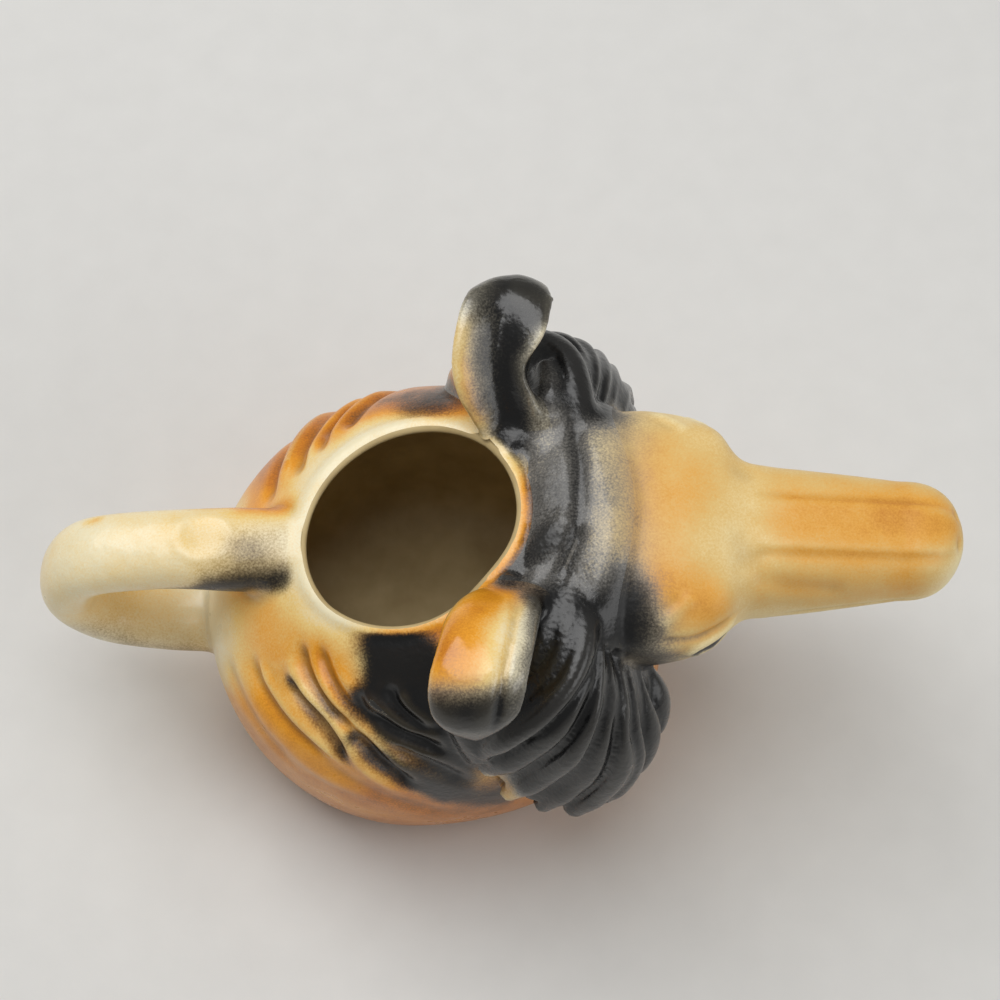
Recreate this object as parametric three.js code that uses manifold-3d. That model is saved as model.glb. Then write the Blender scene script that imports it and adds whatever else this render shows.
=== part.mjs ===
// Dog-shaped cream jug in slip-cast earthenware, in millimetres, +Z up, muzzle towards +X.
// The chest is the pot, the hollow head is the spout, and the clay pieces meet at luted seams.
import * as THREE from "three";
import Module from "manifold-3d";

const wasm = await Module();
wasm.setup();

// Clay
const wall = 3.2;
const luteGap = 0.3;

// Pot: reaches are measured from the axis of its mouth
const bellyRear = 41.2;
const bellyFront = 51;
const bellySide = 42.5;
const bellyHeight = 30;
const footRear = 35.5;
const footFront = 50;
const footSide = 36;
const footEdge = 1.4;
const footRingWidth = 6;
const footRecess = 1.2;
const floorHeight = 5;
const rimHeight = 68;
const rimRadius = 22.6;
const rimTilt = 16.7;
const lipThickness = 2.2;
const lipRise = 1;
const flutesEachSide = 12;
const fluteDepth = 1.5;
const fluteSweep = 50;
const fluteTurnHeight = 42;
const fluteFootClear = 7;
const fluteFade = 12;
const leanStart = 26;
const throatDrop = 11;
const throatHalfWidth = 13;
const throatHalfHeight = 8.5;

// Head: one row for each station from the nape to the muzzle, with heights from the rim
const headStations = [
  { x: 15, top: 3, level: -8, bottom: -30, half: 23 },
  { x: 28, top: 8, level: -5, bottom: -30, half: 24.5 },
  { x: 40, top: 9, level: -3.5, bottom: -27, half: 25 },
  { x: 48, top: 9, level: -3, bottom: -25, half: 24.8 },
  { x: 54, top: 8.4, level: -3, bottom: -23, half: 23.2 },
  { x: 59, top: 7, level: -3, bottom: -21.5, half: 19.4 },
  { x: 63, top: 5.6, level: -5.5, bottom: -20.5, half: 15 },
  { x: 68, top: 4.6, level: -6.5, bottom: -20, half: 13.8 },
  { x: 75, top: 4, level: -6.7, bottom: -19.5, half: 13 },
  { x: 85, top: 3, level: -6.5, bottom: -18, half: 11.9 },
  { x: 94, top: 2, level: -6.5, bottom: -16.5, half: 10.9 },
];
const muzzleTip = 104.8;
const muzzleTipDrop = 6;
const bridgeSquareness = 2.8;
const browBulge = 1.2;
const eyeRadius = 2.6;
const lipLine = 0.6;
const mouthHalfWidth = 7;
const mouthHalfHeight = 3.4;
const mouthDrop = 11;
const noseDrop = 2;
const eyeDrop = 7.5;

// Ears, with the crest's height from the rim
const earHalfSpan = 45.5;
const earRise = 20.5;
const earWidth = 17;
const earThickness = 3.8;
const earHollow = 3.4;
const earWeb = 6;

// Ruff and crown, with heights from the rim
const ruffLocks = 9;
const ruffRelief = 2;
const ruffHalfSpan = 44;
const crownLocks = 4;
const crownRelief = 1.4;
const crownRise = 11.8;

// Run of the ruff's hair, a row for each guide from behind the ear to the cheek: six points from
// root to tip, each with its x, its share of the half span and its height from the rim.
// The locks begin at the first lock guide, and the hair before it is a smooth valley by the ear.
const ruffGuides = [
  [[15, 0.38, 2], [9, 0.56, 2], [4, 0.69, -2], [4.5, 0.79, -8], [7.5, 0.85, -15], [11, 0.86, -23]],
  [[18, 0.4, 5], [13, 0.59, 5.5], [9, 0.75, 3.5], [8, 0.84, -2], [10, 0.9, -10], [12, 0.91, -18]],
  [[27, 0.41, 8], [27, 0.57, 6.5], [26, 0.73, 3.5], [22.5, 0.85, 0], [18, 0.93, -7.5], [13, 0.94, -15]],
  [[33, 0.43, 7], [32.5, 0.63, 6], [30.5, 0.77, 4.5], [26, 0.88, 2], [20, 0.94, -3], [14, 0.96, -12]],
  [[35, 0.57, 5], [35.5, 0.7, 3], [34.2, 0.85, -0.5], [30.5, 0.95, -7], [24.5, 0.98, -18], [18, 0.98, -30]],
  [[37.5, 0.61, 0], [39, 0.77, -2.5], [39, 0.91, -10], [37, 0.98, -21], [33, 0.99, -32], [29, 1, -40]],
  [[41, 0.61, -6], [43, 0.75, -10], [43, 0.85, -17], [43, 0.91, -26], [41, 0.93, -33], [39, 0.93, -39]],
  [[45, 0.52, -12], [46, 0.59, -17], [47, 0.65, -21], [47, 0.69, -25], [46, 0.73, -28], [45, 0.74, -30]],
];
const firstLockGuide = 3;
const valleyShare = 0.25;

// Handle
const handleReach = 73.2;
const handleTop = 57.5;
const handleBottom = 26.5;
const handleWidth = 15.6;
const handleThickness = 11.5;
const thumbDimple = 1;

const smooth = THREE.MathUtils.smoothstep;
const mix = THREE.MathUtils.lerp;
const point = (x, y, z) => new THREE.Vector3(x, y, z);
const fromRim = (x, y, z) => point(x, y, rimHeight + z);

// Closed solid through rings of points, closed by a fan at each end.
function skin(rings) {
  const count = rings[0].length;
  const points = rings.flat();
  const faces = [];
  for (let r = 0; r + 1 < rings.length; r++) {
    for (let i = 0; i < count; i++) {
      const a = r * count + i;
      const b = r * count + ((i + 1) % count);
      faces.push([a, b, b + count], [a, b + count, a + count]);
    }
  }
  for (const ring of [0, rings.length - 1]) {
    const middle = new THREE.Vector3();
    rings[ring].forEach((p) => middle.addScaledVector(p, 1 / count));
    points.push(middle);
    for (let i = 0; i < count; i++) {
      const fan = [ring * count + i, points.length - 1, ring * count + ((i + 1) % count)];
      faces.push(ring === 0 ? fan : fan.reverse());
    }
  }
  let volume = 0;
  for (const [a, b, c] of faces) {
    volume += points[a].dot(points[b].clone().cross(points[c]));
  }
  return new wasm.Manifold(new wasm.Mesh({
    numProp: 3,
    vertProperties: new Float32Array(points.flatMap((p) => p.toArray())),
    triVerts: new Uint32Array(faces.flatMap((f) => (volume > 0 ? f : f.reverse()))),
  }));
}

// Rings along a curve, each an oval whose half sizes and lift come from a rule.
// It is level with the across direction, and may be deeper below than above.
function sweep(curve, steps, sides, across, rule) {
  const rings = [];
  for (let k = 0; k <= steps; k++) {
    const t = k / steps;
    const tangent = curve.getTangent(t);
    const rise = tangent.clone().cross(across).normalize();
    const flat = rise.clone().cross(tangent).normalize();
    const { half, thick, below = thick, lift = () => 0 } = rule(t);
    const ring = [];
    for (let i = 0; i < sides; i++) {
      const a = (2 * Math.PI * i) / sides;
      const v = Math.cos(a);
      const depth = Math.sin(a) > 0 ? thick : below;
      ring.push(curve.getPoint(t)
        .addScaledVector(flat, half * v)
        .addScaledVector(rise, depth * Math.sin(a) + lift(v)));
    }
    rings.push(ring);
  }
  return skin(rings);
}

// Reach of the pot at one height, between the foot, the belly and the rim.
function potReach(z, foot, belly) {
  if (z < bellyHeight) {
    return belly - (belly - foot) * ((bellyHeight - z) / bellyHeight) ** 2;
  }
  const t = Math.min(1, (z - bellyHeight) / (rimHeight - bellyHeight));
  return rimRadius + (belly - rimRadius) * (1 - t ** 2.4) ** 0.75;
}

// One ring of the pot, leaned with the rim towards the top. Its columns sweep forward from
// the rim, four to a hair flute, and fall straight below the turn.
function potRing(z, inset, fluted) {
  const ring = [];
  const columns = (fluted === undefined ? 4 : 8) * flutesEachSide;
  const lean = Math.tan(THREE.MathUtils.degToRad(rimTilt)) * smooth(z, leanStart, rimHeight);
  const drop = 1 - smooth(z, fluteTurnHeight, rimHeight + 2);
  const fade = smooth(z - fluteFootClear, 0, fluteFade) * smooth(rimHeight - 1 - z, 0, fluteFade);
  for (let i = 0; i < columns; i++) {
    const turn = i / columns - 0.5;
    const away = 360 * Math.abs(turn);
    const swept = away - fluteSweep * drop * Math.sin((Math.PI * away) / 180);
    const angle = Math.sign(turn) * THREE.MathUtils.degToRad(swept);
    const groove = 0.5 + 0.5 * Math.cos((Math.PI * i) / 2);
    const flute = fluted ? fluteDepth * fade * groove * smooth(170 - away, 0, 30) : 0;
    const foot = Math.cos(angle) > 0 ? footFront : footRear;
    const belly = Math.cos(angle) > 0 ? bellyFront : bellyRear;
    const x = (potReach(z, foot, belly) - inset - flute) * Math.cos(angle);
    const y = (potReach(z, footSide, bellySide) - inset - flute) * Math.sin(angle);
    ring.push(point(x, y, z + lean * x));
  }
  return ring;
}

const raise = (ring, dz) => ring.map((p) => point(p.x, p.y, p.z + dz));

const potLevels = [
  ...[0.2, 0.4, 0.67, 1].map((t) => t * bellyHeight),
  ...[0.18, 0.34, 0.47, 0.59, 0.7, 0.79, 0.87, 0.935, 1].map((t) => mix(bellyHeight, rimHeight, t)),
];

// Filled pot, grown by a gap, that cuts the pieces luted onto it.
function potForm(grow) {
  return skin([
    raise(potRing(0, -grow, false), -grow),
    ...potLevels.map((z) => potRing(z, -grow, true)),
    raise(potRing(rimHeight, 0.5 * lipThickness, false), lipRise + grow),
  ]);
}

// Inside of the pot, open through the rim.
function potHollow() {
  const levels = [0.17, 0.33, 0.52, 0.68, 0.81, 0.89].map((t) => mix(floorHeight, rimHeight, t));
  return skin([
    potRing(floorHeight, wall + 9),
    potRing(floorHeight + 1, wall + 4),
    potRing(floorHeight + 4, wall),
    ...levels.map((z) => potRing(z, wall)),
    potRing(rimHeight - 4, wall),
    potRing(rimHeight, lipThickness),
    raise(potRing(rimHeight, 0.6 * lipThickness), lipRise + 1),
  ]);
}

// Oval bar along the muzzle, below the rim, used for the throat and the mouth.
function ovalBar(from, to, drop, halfWidth, halfHeight) {
  const axis = new THREE.LineCurve3(fromRim(from, 0, -drop), fromRim(to, 0, -drop));
  return sweep(axis, 1, 28, point(0, 1, 0), () => ({ half: halfWidth, thick: halfHeight }));
}

function pot() {
  const foot = skin([
    raise(potRing(0, footRingWidth), -1),
    raise(potRing(0, footRingWidth + footRecess), footRecess),
  ]);
  const clay = skin([
    potRing(0, footEdge, false),
    potRing(footEdge, 0, false),
    ...potLevels.map((z) => potRing(z, 0, true)),
    raise(potRing(rimHeight, 0.4 * lipThickness, false), lipRise),
  ]);
  const throat = ovalBar(10, 60, throatDrop, throatHalfWidth, throatHalfHeight);
  return clay.subtract(foot).subtract(potHollow()).subtract(throat);
}

const headRow = new THREE.CubicInterpolant(
  headStations.map((s) => s.x),
  headStations.flatMap((s) => [s.top, s.level, s.bottom, s.half]),
  4,
);

// Section of the head at x: a squared oval, with brows standing out above the eyes.
function headRing(x, grow, sides = 36) {
  const last = headStations[headStations.length - 1].x;
  const [top, level, bottom, half] = headRow.evaluate(Math.min(x, last));
  const close = x <= last ? 1 : Math.sqrt(Math.max(0, 1 - ((x - last) / (muzzleTip - last)) ** 2.6));
  const square = mix(2.15, bridgeSquareness, smooth(x, 54, 68));
  const ring = [];
  for (let i = 0; i < sides; i++) {
    const a = (2 * Math.PI * i) / sides;
    const squared = (v) => Math.sign(v) * Math.abs(v) ** (2 / square);
    const fromBrow = Math.abs(Math.cos(a)) - 0.72;
    const brow = Math.sin(a) > 0 ? browBulge * Math.exp(-(((x - 54) / 5) ** 2) - (fromBrow / 0.2) ** 2) : 0;
    const out = brow + grow;
    const rise = Math.sin(a) > 0 ? top - level : level - bottom;
    const y = (half + out) * squared(Math.cos(a));
    const z = level + (rise + out) * squared(Math.sin(a));
    ring.push(fromRim(x, y * close, mix(-muzzleTipDrop, z, close)));
  }
  return ring;
}

function headForm(grow) {
  const nape = [15, 22, 29, 35, 41, 46, 50, 53, 56, 58.5, 61, 63, 66, 70, 75, 80, 85, 90, 94];
  const tip = [0.3, 0.52, 0.7, 0.83, 0.92, 0.98].map((t) => mix(94, muzzleTip, t));
  return skin([...nape, ...tip].map((x) => headRing(x, grow)));
}

function ball(centre, radii) {
  const rings = [];
  for (let k = 1; k < 7; k++) {
    const lat = (Math.PI * k) / 7;
    const ring = [];
    for (let i = 0; i < 12; i++) {
      const a = (2 * Math.PI * i) / 12;
      const at = point(Math.sin(lat) * Math.cos(a), Math.sin(lat) * Math.sin(a), Math.cos(lat));
      ring.push(at.multiply(radii).add(centre));
    }
    rings.push(ring);
  }
  return skin(rings);
}

// Hollow head: eyes and nose stand proud, and the mouth is open to the inside.
function head(body) {
  let clay = headForm(0);
  const nose = ball(fromRim(muzzleTip - 3.4, 0, -noseDrop), point(3.6, 6, 3.4));
  clay = clay.add(nose);
  for (const side of [1, -1]) {
    clay = clay.add(ball(fromRim(57.5, side * 18, -eyeDrop), point(eyeRadius * 1.3, eyeRadius, eyeRadius)));
    clay = clay.subtract(ball(fromRim(muzzleTip - 0.6, side * 3, -noseDrop), point(1.6, 1.2, 1)));
  }
  const hollow = skin([15, 28, 40, 48, 54, 59, 63, 68, 76, 86, 93].map((x) => headRing(x, -wall, 24)));
  for (const side of [1, -1]) {
    const lips = new THREE.CatmullRomCurve3([
      fromRim(70, side * 13.3, -mouthDrop - 0.5),
      fromRim(84, side * 12, -mouthDrop),
      fromRim(muzzleTip - 5, side * 10, 0.5 - mouthDrop),
    ]);
    clay = clay.subtract(sweep(lips, 5, 6, point(0, 0, 1), () => ({ half: lipLine, thick: 2 * lipLine })));
  }
  const mouth = ovalBar(88, muzzleTip + 2, mouthDrop, mouthHalfWidth, mouthHalfHeight);
  return clay.subtract(hollow).subtract(mouth).subtract(body);
}

// Arched ear, hollowed above at the root, rounded over at the tip and thick beneath.
function earForm(side, grow) {
  const tipX = side > 0 ? 21 : 13;
  const spine = new THREE.CatmullRomCurve3([
    fromRim(17.5, side * 15, 0),
    fromRim(17, side * 21, earRise - 7.5),
    fromRim(mix(16, tipX, 0.3), side * 0.72 * earHalfSpan, earRise),
    fromRim(mix(16, tipX, 0.8), side * 0.93 * earHalfSpan, earRise - 3.5),
    fromRim(tipX, side * (earHalfSpan - 1), earRise - 14),
  ]);
  return sweep(spine, 12, 18, point(-side, 0, 0), (t) => {
    const close = Math.sqrt(1 - 0.96 * t ** 7);
    const hollow = earHollow * mix(1, -0.8, smooth(t, 0.35, 0.85));
    const thick = 0.5 * earThickness * close + grow;
    return {
      half: 0.5 * earWidth * mix(0.85, 1, smooth(t, 0, 0.5)) * close + grow,
      thick,
      below: thick + earWeb * Math.sin(Math.PI * Math.min(1, 1.15 * t)),
      lift: (v) => hollow * (v * v - 0.4),
    };
  });
}

// Fluted sheet of hair: locks side by side with grooves between, filled back to a buried core.
// The relief is a rule over the width, so that part of the sheet can stay smooth.
function hairSheet(surface, core, locks, relief, facing, steps) {
  const rings = [];
  for (let k = 0; k <= steps; k++) {
    const ring = [];
    for (let i = 0; i <= 4 * locks; i++) {
      const u = i / (4 * locks);
      const groove = 1 - Math.abs(Math.sin((Math.PI * i) / 4)) ** 0.8;
      const depth = relief(u) * groove;
      const along = (k / steps) * (1 - 0.05 * depth);
      ring.push(surface(u, along).addScaledVector(facing, -depth));
    }
    for (let i = 4; i >= 0; i--) {
      ring.push(core(i / 4, k / steps));
    }
    rings.push(ring);
  }
  return skin(rings);
}

// Fan of locks that spring from behind the cheek, stand out and fall over the neck.
function ruffForm(side) {
  const run = ruffGuides.map((row) => new THREE.CatmullRomCurve3(
    row.map(([x, share, z]) => fromRim(x, side * share * ruffHalfSpan, z)),
  ));
  const last = ruffGuides.length - 1;
  const guideAt = (u) => (u < valleyShare
    ? (firstLockGuide * u) / valleyShare
    : mix(firstLockGuide, last, (u - valleyShare) / (1 - valleyShare)));
  const surface = (u, v) => {
    const level = new THREE.CatmullRomCurve3(run.map((curve) => curve.getPoint(v)));
    return level.getPoint(guideAt(u) / last);
  };
  const core = (u, v) => fromRim(mix(20, 42, u), side * mix(10, 12, u), mix(-8, -14, u) - 24 * v);
  const relief = (u) => ruffRelief * smooth(u, valleyShare - 0.02, valleyShare + 0.08);
  const columns = Math.round(ruffLocks / (1 - valleyShare));
  return hairSheet(surface, core, columns, relief, point(0.2, 0.85 * side, 0.45), 8);
}

// Band of hair over the crown, from one ruff to the other.
function crownForm() {
  const surface = (u, v) => {
    const y = mix(24, -24, v);
    const wave = 1.5 * Math.sin(0.13 * y);
    return fromRim(mix(23, 41, u) + wave, y, crownRise - 0.016 * y * y);
  };
  const core = (u, v) => fromRim(mix(26, 38, u), mix(20, -20, v), -12);
  return hairSheet(surface, core, crownLocks, () => crownRelief, point(0, 0, 1), 10);
}

// Loop handle, flared where it meets the pot, with a dimple for the thumb.
function handleForm() {
  const back = handleReach - 0.5 * handleThickness;
  const level = (t) => mix(handleBottom, handleTop, t);
  const spine = new THREE.CatmullRomCurve3([
    point(-22, 0, level(0.97)),
    point(-36, 0, level(1)),
    point(-50, 0, level(0.985)),
    point(4 - back, 0, level(0.84)),
    point(-back, 0, level(0.52)),
    point(5 - back, 0, level(0.19)),
    point(-50, 0, level(0.015)),
    point(-34, 0, level(-0.015)),
  ]);
  const loop = sweep(spine, 24, 14, point(0, 1, 0), (t) => {
    const flare = 1 + 0.08 * smooth(0.25 - t, 0, 0.16) + 0.25 * smooth(t, 0.86, 1);
    return { half: 0.5 * handleWidth * flare, thick: 0.5 * handleThickness * flare };
  });
  const top = handleTop + 0.5 * handleThickness;
  return loop.subtract(ball(point(-39, 0, top + 5 - thumbDimple), point(8, 6, 5)));
}

const colours = {
  pot: 0xc98a3e,
  head: 0xd9b476,
  ear: 0xb98545,
  ruff: 0x3a332f,
  crown: 0x4a4542,
  handle: 0xe6dcc2,
};

// The mesh of a solid, set so that the jug stands about the middle of its length.
function piece(name, solid, colour) {
  const mesh = solid.getMesh();
  const geometry = new THREE.BufferGeometry();
  geometry.setAttribute("position", new THREE.BufferAttribute(mesh.vertProperties, 3));
  geometry.setIndex(new THREE.BufferAttribute(mesh.triVerts, 1));
  geometry.translate(0.5 * (handleReach - muzzleTip), 0, 0);
  const made = new THREE.Mesh(geometry, new THREE.MeshStandardMaterial({ color: colour, roughness: 0.25 }));
  made.name = name;
  return made;
}

function jug() {
  const group = new THREE.Group();
  group.name = "dog_creamer";
  const sides = { left: 1, right: -1 };
  const body = potForm(luteGap);
  const skull = headForm(luteGap);
  const ears = earForm(1, luteGap).add(earForm(-1, luteGap));
  const crownCut = crownForm();
  group.add(piece("pot", pot(), colours.pot));
  group.add(piece("head", head(body), colours.head));
  group.add(piece("handle", handleForm().subtract(body), colours.handle));
  group.add(piece("crown_mane", crownCut.subtract(body).subtract(skull).subtract(ears), colours.crown));
  for (const [word, side] of Object.entries(sides)) {
    const ear = earForm(side, 0).subtract(body).subtract(skull);
    group.add(piece(`ear_${word}`, ear, colours.ear));
    const ruff = ruffForm(side).subtract(body).subtract(skull).subtract(ears).subtract(crownCut);
    group.add(piece(`ruff_${word}`, ruff, colours.ruff));
  }
  return group;
}

export default jug();
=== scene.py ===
import math

import bpy
import numpy as np
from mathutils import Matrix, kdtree


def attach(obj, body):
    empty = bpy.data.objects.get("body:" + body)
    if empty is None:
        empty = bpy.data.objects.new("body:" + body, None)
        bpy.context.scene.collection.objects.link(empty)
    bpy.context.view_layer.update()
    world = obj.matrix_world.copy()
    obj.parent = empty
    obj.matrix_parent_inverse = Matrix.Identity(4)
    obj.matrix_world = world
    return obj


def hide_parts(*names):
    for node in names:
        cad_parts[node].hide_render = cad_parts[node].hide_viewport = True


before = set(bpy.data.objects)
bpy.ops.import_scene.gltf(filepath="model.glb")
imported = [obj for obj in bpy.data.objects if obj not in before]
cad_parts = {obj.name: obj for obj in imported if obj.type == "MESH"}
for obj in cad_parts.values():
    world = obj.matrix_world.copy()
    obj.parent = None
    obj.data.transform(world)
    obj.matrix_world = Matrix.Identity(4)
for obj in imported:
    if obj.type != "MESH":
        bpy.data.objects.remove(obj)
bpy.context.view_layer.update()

# Cream jug shaped as a long-muzzled dog, slip cast, airbrushed and glazed.
# Sizes are millimetres with x from the axis of the filling mouth; toFrame shifts them into the frame.
mouthAxis = -15.8


def toFrame(points):
    return (np.asarray(points, float) + (mouthAxis, 0, 0)) * 0.001


def smooth(x, low, high):
    t = np.clip((np.asarray(x, float) - low) / (high - low), 0, 1)
    return t * t * (3 - 2 * t)


def mix(a, b, t):
    return a + (b - a) * t


def hump(x, middle, width):
    return np.exp(-((x - middle) / width) ** 2)


# smooth values through rows given at stops
def through(stops, rows, x):
    stops, rows, x = np.asarray(stops, float), np.asarray(rows, float), np.asarray(x, float)
    slopes = np.gradient(rows, stops, axis=0)
    k = np.clip(np.searchsorted(stops, x) - 1, 0, len(stops) - 2)
    h = (stops[k + 1] - stops[k])[..., None]
    t = (x - stops[k])[..., None] / h
    a, b = rows[k], rows[k + 1]
    ends = (2 * t**3 - 3 * t**2 + 1) * a + (3 * t**2 - 2 * t**3) * b
    return ends + h * ((t**3 - 2 * t**2 + t) * slopes[k] + (t**3 - t**2) * slopes[k + 1])


# evenly spaced points on a smooth line through a few
def line(points, count):
    points = np.asarray(points, float)
    stops = np.concatenate([[0], np.cumsum(np.linalg.norm(np.diff(points, axis=0), axis=1))])
    return through(stops, points, np.linspace(0, stops[-1], count))


def mirrored(points, side):
    return np.asarray(points, float) * (1, side, 1)


# how strongly a pass along a line marks each place, fading with distance and, if tapered, to its ends
def mark(places, strength, radius, path, tapered=False):
    path = np.atleast_2d(np.asarray(path, float))
    marks = np.zeros(len(places))
    near = np.all((places > path.min(0) - 3 * radius) & (places < path.max(0) + 3 * radius), axis=1)
    close = places[near]
    if len(path) == 1:
        marks[near] = strength * hump(np.linalg.norm(close - path[0], axis=1), 0, radius)
        return marks
    lengths = np.linalg.norm(np.diff(path, axis=0), axis=1)
    starts = np.concatenate([[0], np.cumsum(lengths)])
    best, at = np.full(len(close), 1e9), np.zeros(len(close))
    for a, b, start, length in zip(path[:-1], path[1:], starts, lengths):
        along = np.clip((close - a) @ (b - a) / length**2, 0, 1)
        gap = np.linalg.norm(close - a - along[:, None] * (b - a), axis=1)
        at = np.where(gap < best, (start + along * length) / starts[-1], at)
        best = np.minimum(best, gap)
    ends = smooth(at, -0.04, 0.16) * (1 - smooth(at, 0.72, 1.02)) if tapered else 1
    marks[near] = strength * hump(best, 0, radius) * ends
    return marks


# closed skin over rings of points, with a fan at each end, facing out
def skin(rings):
    rings = np.asarray(rings, float)
    count, sides = rings.shape[:2]
    points = np.concatenate([rings.reshape(-1, 3), [rings[0].mean(0), rings[-1].mean(0)]])
    here = np.arange(sides)
    following = np.roll(here, -1)
    rows = np.arange(count - 1)[:, None] * sides
    walls = np.stack([rows + here, rows + following, rows + following + sides, rows + here + sides], -1)
    walls = walls.reshape(-1, 4)
    low = np.stack([following, here, np.full(sides, count * sides)], -1)
    top = np.stack([here, following, np.full(sides, 0)], -1) + (count - 1) * sides
    top[:, 2] = count * sides + 1
    triangles = np.concatenate([walls[:, :3], walls[:, [0, 2, 3]], low, top])
    a, b, c = points[triangles].transpose(1, 0, 2)
    turn = 1 if np.einsum("ij,ij->", a, np.cross(b, c)) > 0 else -1
    return points, [list(face)[::turn] for group in (walls, low, top) for face in group.tolist()]


# rings along a line; the rule gives each place round a ring as an offset across and an offset up
def sweep(path, across, rule, sides):
    ahead = np.gradient(path, axis=0)
    ahead /= np.linalg.norm(ahead, axis=1)[:, None]
    up = np.cross(ahead, across)
    up /= np.linalg.norm(up, axis=1)[:, None]
    flat = np.cross(up, ahead)
    a = 2 * math.pi * np.arange(sides) / sides
    t = np.linspace(0, 1, len(path))[:, None]
    aside, lift = rule(t, np.cos(a)[None], np.sin(a)[None])
    return path[:, None] + flat[:, None] * aside[..., None] + up[:, None] * lift[..., None]


def newPiece(name, data):
    piece = bpy.data.objects.new(name, data)
    bpy.context.scene.collection.objects.link(piece)
    return piece


def fromParts(name, parts):
    points, faces, start = [], [], 0
    for partPoints, partFaces in parts:
        points.append(partPoints)
        faces += [[i + start for i in face] for face in partFaces]
        start += len(partPoints)
    mesh = bpy.data.meshes.new(name)
    mesh.from_pydata(toFrame(np.concatenate(points)).tolist(), [], faces)
    return newPiece(name, mesh)


def places(piece):
    flat = np.empty(len(piece.data.vertices) * 3, np.float32)
    piece.data.vertices.foreach_get("co", flat)
    return flat.reshape(-1, 3).astype(float) * 1000 - (mouthAxis, 0, 0)


def place(piece, points):
    piece.data.vertices.foreach_set("co", toFrame(points).astype(np.float32).ravel())
    piece.data.update()


def normals(piece):
    flat = np.empty(len(piece.data.vertices) * 3, np.float32)
    piece.data.vertex_normals.foreach_get("vector", flat)
    return flat.reshape(-1, 3).astype(float)


def edgesOf(piece):
    flat = np.empty(len(piece.data.edges) * 2, np.int32)
    piece.data.edges.foreach_get("vertices", flat)
    return flat.reshape(-1, 2)


# mean of each point's neighbours
def around(values, edges):
    a, b = edges.T
    count = np.bincount(edges.ravel(), minlength=len(values))
    columns = []
    for column in values.T:
        columns.append(np.bincount(a, column[b], len(values)) + np.bincount(b, column[a], len(values)))
    return np.stack(columns, 1) / np.maximum(count, 1)[:, None]


# turns what the modifiers give into a plain mesh
def bake(piece, name):
    shown = piece.evaluated_get(bpy.context.evaluated_depsgraph_get())
    mesh = bpy.data.meshes.new_from_object(shown)
    bpy.data.objects.remove(piece)
    mesh.name = name
    return newPiece(name, mesh)


def copied(piece, name):
    return newPiece(name, piece.data.copy())


def cut(piece, tool, operation):
    modifier = piece.modifiers.new("cut", "BOOLEAN")
    modifier.object = tool
    modifier.operation = operation
    modifier.solver = "MANIFOLD"
    modifier.material_mode = "TRANSFER"
    return bake(piece, piece.name)


# adds a node with its settings and links; a setting is a property or an input, and a link comes from a socket
# or from a node's first output
def addNode(tree, kind, settings=None, links=None):
    node = tree.nodes.new(kind)
    for key, value in (settings or {}).items():
        if isinstance(key, str) and key in node.bl_rna.properties:
            setattr(node, key, value)
        else:
            node.inputs[key].default_value = value
    for key, source in (links or {}).items():
        tree.links.new(source.outputs[0] if isinstance(source, bpy.types.Node) else source, node.inputs[key])
    return node


def colour(hexText):
    channels = [int(hexText[i:i + 2], 16) / 255 for i in (1, 3, 5)]
    return [c / 12.92 if c <= 0.04045 else ((c + 0.055) / 1.055) ** 2.4 for c in channels] + [1]


def perMm(size):
    return 1000 / size  # noise scale for grains of that size, in metres


# Pot
pot = {
    "bellyRear": 41.2, "bellyFront": 51, "bellySide": 42.5, "bellyHeight": 30,
    "footRear": 35.5, "footFront": 50, "footSide": 36, "footEdge": 1.6,
    "rimHeight": 68, "rimRadius": 22.6, "rimTilt": 16.7, "leanStart": 26,
    "lip": 2.2, "lipRise": 1.0, "wall": 3.2, "floor": 5, "neck": 9,  # wall thins to the lip over the neck
    "lipMore": 1.5, "lipTowards": 135,  # lip is wider behind, on the far side
    "flatAngle": -42, "flatSpread": 24, "flatDepth": 1.4,  # mouth a little flat beside the near ear
    "throat": (10, 60, 57, 13, 8.5),  # start, end, level, half width, half height
    "footRing": 6, "recess": 1.2,
    "columns": 240, "kept": 0.84,  # share of its faces kept, flattest go first
}


def potReach(z, foot, belly, rim):
    high = pot["bellyHeight"]
    low = belly - (belly - foot) * (np.clip(high - z, 0, None) / high) ** 2
    t = np.clip((z - high) / (pot["rimHeight"] - high), 0, 1)
    return np.where(z < high, low, rim + (belly - rim) * (1 - t**2.4) ** 0.75)


def potHalves(angle, z):
    rim = pot["rimRadius"] - pot["flatDepth"] * hump(np.degrees(angle), pot["flatAngle"], pot["flatSpread"])
    ahead = np.cos(angle) > 0
    foot = np.where(ahead, pot["footFront"], pot["footRear"])
    belly = np.where(ahead, pot["bellyFront"], pot["bellyRear"])
    return potReach(z, foot, belly, rim), potReach(z, pot["footSide"], pot["bellySide"], rim)


def potLean(z):
    return math.tan(math.radians(pot["rimTilt"])) * smooth(z, pot["leanStart"], pot["rimHeight"])


# places on the pot's outside, moved in by an inset and up by a lift
def potSurface(angle, z, inset=0.0, lift=0.0):
    z = np.asarray(z, float)
    ahead, aside = potHalves(angle, z)
    x = (ahead - inset) * np.cos(angle)
    return np.stack([x, (aside - inset) * np.sin(angle), z + lift + potLean(z) * x], -1)


def potAngles():
    return 2 * math.pi * np.arange(pot["columns"]) / pot["columns"] - math.pi


def potRing(z, inset, lift=0.0):
    return potSurface(potAngles(), z, inset, lift)


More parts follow.
